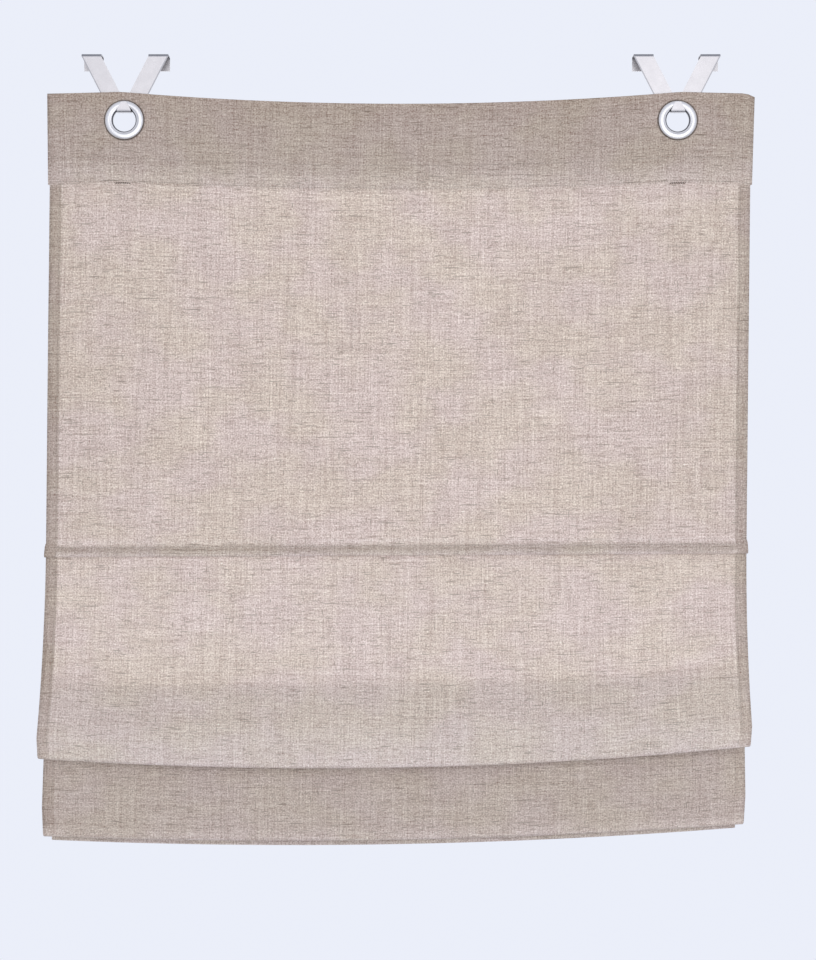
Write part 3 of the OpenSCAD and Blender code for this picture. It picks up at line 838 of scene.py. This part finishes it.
def hook_material(look):
    """Brushed sheet metal, with painted shade along its bends and its cut edges"""
    material, nodes = new_material("brushed_hook_metal")
    place = nodes.object_place()
    brushed = nodes.stretched_noise(place, (260.0, 900.0, 1500.0), 3.0)
    cloudy = nodes.stretched_noise(place, (90.0, 90.0, 90.0), 2.0)
    axes = nodes.axes(place)
    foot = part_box("hook_right")[0].z
    bend_low, bend_high = -0.0026, -0.0012
    turn_low, turn_high = foot + 0.0008, foot + 0.0034
    turn_cover = 0.75
    edge_cover = 0.7
    # Painted shade along the top bend, at the tongue's turned-up foot and along the arms' cut edges
    painted_bend_shade = nodes.between(axes["Z"], bend_low, bend_high)
    turned_up = nodes.between(axes["Z"], turn_high, turn_low)
    painted_bend_shade = nodes.math("MAXIMUM", painted_bend_shade, nodes.math("MULTIPLY", turned_up, turn_cover))
    painted_bend_shade = nodes.math("MAXIMUM", painted_bend_shade, nodes.math("MULTIPLY", hook_edges(nodes, axes), edge_cover))
    shade = nodes.plus(0.90, brushed, 0.20)
    metal = nodes.mix(1.0, rgba(look.hook), shade, "MULTIPLY")
    metal = nodes.mix(painted_bend_shade, metal, rgba(look.hook_painted_shade))
    rough = nodes.plus(0.34, cloudy, 0.16)
    nodes.surface(nodes.add("ShaderNodeBsdfPrincipled", {
        "Base Color": metal, "Roughness": rough, "Metallic": 1.0,
        "Normal": nodes.bump(0.08, 0.0001, brushed),
    }))
    return material


def eyelet_material(look):
    """Spun satin metal, with shaded lines round the bore, at the pressed step and along the outer edge"""
    material, nodes = new_material("satin_eyelet_metal")
    place = nodes.object_place()
    reach = reach_from_eyelets(nodes, place)
    edge = eyelet_radius()
    bore = 0.013
    step = 0.0163
    outer_cover = 0.6
    step_cover = 0.3
    spun_pitch = 0.0021
    spun = nodes.math("SINE", nodes.math("MULTIPLY", reach, 2 * math.pi / spun_pitch))
    shade = nodes.plus(0.97, spun, 0.03)
    metal = nodes.mix(1.0, rgba(look.eyelet), shade, "MULTIPLY")
    inner = nodes.between(reach, bore + 0.0016, bore + 0.0008)
    outer = nodes.math("MULTIPLY", nodes.between(reach, edge - 0.0006, edge - 0.0001), outer_cover)
    off_step = nodes.math("ABSOLUTE", nodes.math("SUBTRACT", reach, step))
    stepped = nodes.math("MULTIPLY", nodes.between(off_step, 0.0011, 0.0003), step_cover)
    lines = nodes.math("MAXIMUM", stepped, nodes.math("MAXIMUM", inner, outer))
    metal = nodes.mix(lines, metal, rgba(look.eyelet_rim))
    fine = nodes.stretched_noise(place, (700.0, 700.0, 700.0), 3.0)
    rough = nodes.plus(0.32, fine, 0.12)
    nodes.surface(nodes.add("ShaderNodeBsdfPrincipled", {
        "Base Color": metal, "Roughness": rough, "Metallic": 1.0, "Normal": nodes.bump(0.04, 0.0002, fine),
    }))
    return material


def tape_material(look, size):
    """Plain woven stiffening tape"""
    material, nodes = new_material("woven_tape")
    place = nodes.object_place()
    turned = nodes.add("ShaderNodeMapping", {"Vector": place, "Rotation": (math.radians(90), 0.0, 0.0)})
    weave = nodes.add(
        "ShaderNodeGroup",
        {"Vector": turned.outputs[0], "Thread Pitch": size.thread_pitch, "Slubs": 0.3},
        node_tree=slubby_weave(),
    ).outputs
    tint = nodes.mix(1.0, rgba(look.tape), weave["Shade"], "MULTIPLY")
    nodes.surface(nodes.add("ShaderNodeBsdfPrincipled", {
        "Base Color": tint, "Roughness": 0.85, "Normal": nodes.bump(0.3, 0.0002, weave["Height"]),
    }))
    return material


def new_piece(name, bm, material):
    """Makes a piece from a bmesh, which rides on the blind"""
    mesh = bpy.data.meshes.new(name)
    bm.to_mesh(mesh)
    bm.free()
    mesh.shade_smooth()
    mesh.materials.append(material)
    piece = bpy.data.objects.new(name, mesh)
    bpy.context.scene.collection.objects.link(piece)
    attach(piece, BODY)
    return piece


def dress_node(name, material):
    """Gives a CAD node its finish"""
    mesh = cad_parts[name].data
    mesh.materials.clear()
    mesh.materials.append(material)


def add_stitch(bm, start, end, radius):
    """A stitch of thread from one point to another"""
    reach = end - start
    turn = reach.to_track_quat("X", "Z").to_matrix().to_4x4()
    stretch = Matrix.Diagonal((reach.length / 2 + radius, radius, radius, 1.0))
    bmesh.ops.create_icosphere(
        bm, subdivisions=1, radius=1.0, matrix=Matrix.Translation((start + end) / 2) @ turn @ stretch
    )


class BLIND_OT_make_stage(bpy.types.Operator):
    """Sets the camera, the floor, the lamps and the light around the blind"""

    bl_idname = "blind.make_stage"
    bl_label = "Make stage"

    KEY_PLACE = (0.25, -2.2, -0.5)
    BACK_PLACE = (0.0, 2.0, -0.45)
    LAMP_W = 2.4

    def execute(self, context):
        look = context.scene.blind_stage
        self.aim_camera(context, look)
        self.lay_floor(context, look)
        self.light_world(context, look)
        self.add_lamp(context, "key_lamp", Vector(self.KEY_PLACE), look.key)
        self.add_lamp(context, "back_lamp", Vector(self.BACK_PLACE), look.back)
        context.scene.view_settings.view_transform = "Standard"
        return {"FINISHED"}

    def aim_camera(self, context, look):
        """Camera square to the cloth"""
        data = bpy.data.cameras.new("camera")
        camera = bpy.data.objects.new("camera", data)
        context.scene.collection.objects.link(camera)
        data.lens = data.sensor_width * look.distance / look.view_span
        camera.location = (look.view_x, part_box("header_tape")[0].y - look.distance, look.view_z)
        camera.rotation_euler = (math.radians(90), 0.0, 0.0)
        context.scene.camera = camera

    def lay_floor(self, context, look):
        """Plain pale floor well below the blind"""
        bm = bmesh.new()
        bmesh.ops.create_grid(
            bm, x_segments=1, y_segments=1, size=look.floor_w / 2,
            matrix=Matrix.Translation((0.0, 0.0, look.floor_z)),
        )
        mesh = bpy.data.meshes.new("floor")
        bm.to_mesh(mesh)
        bm.free()
        pale = plain_finish("pale_floor", look.floor, 0.8, grain=(60.0, 60.0, 60.0), depth=0.01)
        mesh.materials.append(pale)
        floor = bpy.data.objects.new("floor", mesh)
        context.scene.collection.objects.link(floor)

    def light_world(self, context, look):
        """Even light, with the backdrop's colour where the camera or a reflection sees it"""
        world = bpy.data.worlds.new("studio")
        world.use_nodes = True
        context.scene.world = world
        nodes = NodeTree(world.node_tree)
        rays = nodes.add("ShaderNodeLightPath").outputs
        seen = nodes.math("MAXIMUM", rays["Is Camera Ray"], rays["Is Glossy Ray"])
        seen = nodes.math("MAXIMUM", seen, rays["Is Transmission Ray"])
        light = nodes.add("ShaderNodeBackground", {"Color": (1.0, 1.0, 1.0, 1.0), "Strength": look.ambient})
        shown = nodes.add("ShaderNodeBackground", {"Color": rgba(look.backdrop), "Strength": 1.0})
        both = nodes.add("ShaderNodeMixShader", {0: seen, 1: light.outputs[0], 2: shown.outputs[0]})
        nodes.add("ShaderNodeOutputWorld", {"Surface": both.outputs[0]})

    def add_lamp(self, context, name, place, level):
        """A soft square lamp that gives a white surface at the blind's middle the level stated"""
        target = (CAD_BOX[0] + CAD_BOX[1]) / 2
        reach = target - place
        data = bpy.data.lights.new(name, "AREA")
        data.size = self.LAMP_W
        data.energy = level * math.pi ** 2 * reach.length_squared
        lamp = bpy.data.objects.new(name, data)
        lamp.location = place
        lamp.rotation_euler = reach.to_track_quat("-Z", "Y").to_euler()
        lamp.visible_camera = False
        context.scene.collection.objects.link(lamp)


class BLIND_OT_hang_cloth(bpy.types.Operator):
    """Hangs the linen: header, panel, tunnels, folds and hems in one sheet"""

    bl_idname = "blind.hang_cloth"
    bl_label = "Hang cloth"

    HOLE_R = 0.0158

    def execute(self, context):
        size = context.scene.blind_cloth
        section = ClothSection(size)
        columns = section.columns()
        bm = bmesh.new()
        bmesh.ops.create_grid(bm, x_segments=len(columns) - 1, y_segments=len(section.rows) - 1, size=1.0)
        flat = self.hang(bm, section, columns)
        self.lay_out(bm, flat)
        self.cut_holes(bm, section)
        cloth = new_piece("linen_cloth", bm, linen_material(size))
        self.thicken(cloth, section)
        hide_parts("blind_cloth")
        return {"FINISHED"}

    def hang(self, bm, section, columns):
        """Moves the flat grid to its hung form, and returns each vertex's place on the flat cloth"""
        painted_shading = bm.verts.layers.float.new("painted_shading")
        last_row = len(section.rows) - 1
        flat = {}
        for vert in bm.verts:
            column = round((vert.co.x + 1) / 2 * (len(columns) - 1))
            row = section.rows[last_row - round((vert.co.y + 1) / 2 * last_row)]
            x = columns[column]
            vert.co = section.draped(row, x)
            # Painted shading, which the linen's material reads
            vert[painted_shading] = section.painted_shading(row, x, vert.co.z)
            flat[vert] = (x, -row.run)
        return flat

    def lay_out(self, bm, flat):
        """UV map in metres on the flat cloth"""
        layer = bm.loops.layers.uv.new("cloth")
        for face in bm.faces:
            for loop in face.loops:
                loop[layer].uv = flat[loop.vert]

    def cut_holes(self, bm, section):
        """Opens the header's two layers under the eyelets"""
        centre = Vector((section.eyelet.x, section.eyelet.z))
        low = section.level_z(HEADER_EDGE, 0.0)
        rim = set()
        for vert in bm.verts:
            if vert.co.z < low:
                continue
            side = math.copysign(1.0, vert.co.x)
            arm = Vector((abs(vert.co.x), vert.co.z)) - centre
            if 0 < arm.length < self.HOLE_R:
                arm *= self.HOLE_R / arm.length
                vert.co.x, vert.co.z = side * (centre.x + arm.x), centre.y + arm.y
                rim.add(vert)
        inside = [face for face in bm.faces if all(vert in rim for vert in face.verts)]
        if not inside:
            raise RuntimeError("no cloth was found under the eyelets")
        bmesh.ops.delete(bm, geom=inside, context="FACES")

    def thicken(self, cloth, section):
        """Gives the sheet its thickness, with the side hems thicker"""
        size = section.size
        group = cloth.vertex_groups.new(name="thickness")
        full = size.layer_t + size.hem_t
        inner = section.half_w - size.hem_w + section.HEM_STEP / 2
        hem_rows = (section.runs["panel"], section.runs["upper_tunnel"])
        uv = cloth.data.uv_layers["cloth"].data
        for loop in cloth.data.loops:
            x, run = uv[loop.index].uv
            hemmed = abs(x) > inner and hem_rows[0] < -run < hem_rows[1]
            group.add([loop.vertex_index], 1.0 if hemmed else size.layer_t / full, "REPLACE")
        solid = cloth.modifiers.new("thickness", "SOLIDIFY")
        solid.thickness = full
        solid.offset = -1.0
        solid.vertex_group = group.name


class BLIND_OT_sew_seams(bpy.types.Operator):
    """Sews the machine stitches, the tunnels' end tacks and the bar tacks"""

    bl_idname = "blind.sew_seams"
    bl_label = "Sew seams"

    # Distances along the cloth from the upper tunnel's beginning and end to its rows of stitches
    FRONT_ROW = 0.0065
    BACK_ROW = 0.001
    END_ROW = 0.004
    # Where the side hems' rows begin and end on the folds, and the length of the last row
    FOLD_START = 0.006
    FOLD_STOP = 0.1
    LAST_ROW = 0.14
    TACK_TURNS = 14

    def execute(self, context):
        size = context.scene.blind_cloth
        look = context.scene.blind_seams
        self.section = ClothSection(size)
        self.look = look
        bm = bmesh.new()
        self.sew_header(bm)
        self.sew_tunnels(bm, size)
        self.sew_side_hems(bm, size)
        new_piece("seam_stitches", bm, thread_finish("linen_thread", look.thread, 0.8))
        bm = bmesh.new()
        for side in SIDES.values():
            self.sew_tack(bm, side)
        new_piece("bar_tacks", bm, thread_finish("tack_thread", look.tack, 0.75))
        return {"FINISHED"}

    def on_cloth(self, run, x, depth=0.0):
        """A point on the cloth's outer face, or on its other face if a depth is given"""
        section = self.section
        step = 0.0005
        here = section.draped(section.row_at(run), x)
        down = section.draped(section.row_at(run + step), x) - here
        out = down.cross(Vector((1.0, 0.0, 0.0))).normalized()
        lift = self.look.thread_d * 0.15
        return here + out * (lift if depth == 0.0 else -depth - lift)

    def sew_row(self, bm, start, end, point):
        """A row of stitches whose ends a function places, joined to the others when it is whole"""
        row = bmesh.new()
        for k in range(int((end - start) / self.look.pitch)):
            place = start + k * self.look.pitch
            add_stitch(row, point(place), point(place + self.look.stitch), self.look.thread_d / 2)
        mesh = bpy.data.meshes.new("row")
        row.to_mesh(mesh)
        row.free()
        bm.from_mesh(mesh)
        bpy.data.meshes.remove(mesh)

    def sew_across(self, bm, run, start, end, depth=0.0):
        """A row of stitches across the width"""
        self.sew_row(bm, start, end, lambda x: self.on_cloth(run, x, depth))

    def sew_along(self, bm, x, start, end, depth=0.0):
        """A row of stitches along the run of the cloth"""
        self.sew_row(bm, start, end, lambda run: self.on_cloth(run, x, depth))

    def sew_header(self, bm):
        """Rows under the tape and along the header's lower edge, on both faces"""
        section = self.section
        reach = section.half_w - self.look.margin
        for run in (section.tape_run, section.edge_run - self.look.margin):
            for face in (1, -1):
                self.sew_across(bm, face * run, -reach, reach)

    def sew_tunnels(self, bm, size):
        """Seams of the upper tunnel, its end tacks and the bottom hem's row"""
        section = self.section
        reach = section.half_w - self.look.margin
        seam = section.runs["upper_tunnel"]
        below = section.runs["front_fold"]
        self.sew_across(bm, seam + self.FRONT_ROW, -reach, reach)
        self.sew_across(bm, below + self.END_ROW, -reach, -reach + self.look.end_tack)
        self.sew_across(bm, below + self.END_ROW, reach - self.look.end_tack, reach)
        self.sew_across(bm, seam - self.BACK_ROW, -reach, reach, size.layer_t)
        self.sew_across(bm, section.end_run - self.look.margin, -reach, reach)

    def sew_side_hems(self, bm, size):
        """Rows along the side hems' inner edges, on both faces"""
        section = self.section
        runs = section.runs
        x = section.half_w - size.hem_w + self.look.margin
        stretches = (
            (section.edge_run + self.look.margin, runs["upper_tunnel"] - self.look.margin),
            (runs["front_fold"] + self.FOLD_START, runs["middle_tunnel"] - self.FOLD_STOP),
            (runs["second_fold"] - self.FOLD_STOP, runs["second_fold"]),
        )
        for side in SIDES.values():
            for start, end in stretches:
                self.sew_along(bm, side * x, start, end)
            self.sew_along(bm, side * x, *stretches[0], size.layer_t + size.hem_t)
            last = runs["bottom_hem"]
            self.sew_along(bm, side * x, last - self.LAST_ROW, last, size.layer_t)

    def sew_tack(self, bm, side):
        """A dark zigzag that holds a header ring"""
        turns = self.TACK_TURNS
        run = self.section.edge_run
        x = side * self.section.eyelet.x - self.look.tack_w / 2
        points = []
        for k in range(turns + 1):
            swing = self.look.tack_h * (0.5 if k % 2 else -0.5)
            points.append(self.on_cloth(run + swing, x + self.look.tack_w * k / turns))
        for start, end in zip(points, points[1:]):
            add_stitch(bm, start, end, self.look.tack_d / 2)


class BLIND_OT_tie_rings(bpy.types.Operator):
    """Ties the cord rings to the back of the cloth"""

    bl_idname = "blind.tie_rings"
    bl_label = "Tie rings"

    def execute(self, context):
        look = context.scene.blind_seams
        bm = bmesh.new()
        for row in RING_ROWS:
            for side in SIDES:
                self.tie(bm, look, f"ring_{row}_{side}")
        new_piece("ring_threads", bm, thread_finish("ring_thread", look.thread, 0.8))
        return {"FINISHED"}

    def tie(self, bm, look, ring):
        """Turns of thread round the top of a ring"""
        low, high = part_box(ring)
        x = (low.x + high.x) / 2
        thick = high.y - low.y
        radius = look.thread_d / 2
        for k in (-1, 0, 1):
            top = Vector((x + k * 2.2 * radius, low.y, high.z + radius))
            back = Vector((top.x, high.y + radius, high.z - thick / 2))
            under = Vector((top.x, low.y, high.z - thick - radius))
            for start, end in ((top, back), (back, under)):
                add_stitch(bm, start, end, radius)


class BLIND_OT_finish_hooks(bpy.types.Operator):
    """Finishes the two hooks"""

    bl_idname = "blind.finish_hooks"
    bl_label = "Finish hooks"

    def execute(self, context):
        metal = hook_material(context.scene.blind_fittings)
        for side in SIDES:
            dress_node(f"hook_{side}", metal)
        return {"FINISHED"}


class BLIND_OT_finish_eyelets(bpy.types.Operator):
    """Finishes the eyelets and their washers"""

    bl_idname = "blind.finish_eyelets"
    bl_label = "Finish eyelets"

    def execute(self, context):
        satin = eyelet_material(context.scene.blind_fittings)
        for side in SIDES:
            dress_node(f"eyelet_face_{side}", satin)
            dress_node(f"eyelet_washer_{side}", satin)
        return {"FINISHED"}


class BLIND_OT_finish_stiffeners(bpy.types.Operator):
    """Finishes the tape, the tunnel rods and the weight bar"""

    bl_idname = "blind.finish_stiffeners"
    bl_label = "Finish stiffeners"

    def execute(self, context):
        look = context.scene.blind_fittings
        dress_node("header_tape", tape_material(look, context.scene.blind_cloth))
        fibre = plain_finish("glass_fibre", look.rod, 0.4, grain=(12.0, 900.0, 900.0), depth=0.08, bump=0.2)
        for place in TUNNELS:
            dress_node(f"rod_{place}", fibre)
        bar = plain_finish("coated_bar", look.bar, 0.45, grain=(8.0, 500.0, 900.0), depth=0.06, bump=0.15)
        dress_node("bottom_bar", bar)
        return {"FINISHED"}


class BLIND_OT_finish_rings(bpy.types.Operator):
    """Finishes the cord rings"""

    bl_idname = "blind.finish_rings"
    bl_label = "Finish rings"

    def execute(self, context):
        look = context.scene.blind_fittings
        plastic = plain_finish("milky_plastic", look.ring, 0.3, grain=(300.0, 300.0, 300.0), depth=0.03)
        for row in RING_ROWS:
            for side in SIDES:
                dress_node(f"ring_{row}_{side}", plastic)
        return {"FINISHED"}


STEPS = (
    BLIND_OT_make_stage,
    BLIND_OT_hang_cloth,
    BLIND_OT_sew_seams,
    BLIND_OT_tie_rings,
    BLIND_OT_finish_hooks,
    BLIND_OT_finish_eyelets,
    BLIND_OT_finish_stiffeners,
    BLIND_OT_finish_rings,
)

SETTINGS = {
    "blind_cloth": BlindClothSettings,
    "blind_seams": BlindSeamSettings,
    "blind_fittings": BlindFittingSettings,
    "blind_stage": BlindStageSettings,
}


class VIEW3D_PT_blind(bpy.types.Panel):
    """Lists the steps and sizes of the blind"""

    bl_label = "Roman Blind"
    bl_space_type = "VIEW_3D"
    bl_region_type = "UI"
    bl_category = "Blind"

    def draw(self, context):
        for step in STEPS:
            self.layout.operator(step.bl_idname)
        for name, group in SETTINGS.items():
            box = self.layout.box()
            box.label(text=group.__doc__)
            for key in group.__annotations__:
                box.prop(getattr(context.scene, name), key)


CLASSES = (*SETTINGS.values(), *STEPS, VIEW3D_PT_blind)


def register():
    for cls in CLASSES:
        bpy.utils.register_class(cls)
    for name, group in SETTINGS.items():
        setattr(bpy.types.Scene, name, PointerProperty(type=group))


def unregister():
    for name in SETTINGS:
        delattr(bpy.types.Scene, name)
    for cls in reversed(CLASSES):
        bpy.utils.unregister_class(cls)


def main():
    register()
    bpy.ops.blind.make_stage()
    bpy.ops.blind.hang_cloth()
    bpy.ops.blind.sew_seams()
    bpy.ops.blind.tie_rings()
    bpy.ops.blind.finish_hooks()
    bpy.ops.blind.finish_eyelets()
    bpy.ops.blind.finish_stiffeners()
    bpy.ops.blind.finish_rings()


if __name__ == "__main__":
    main()
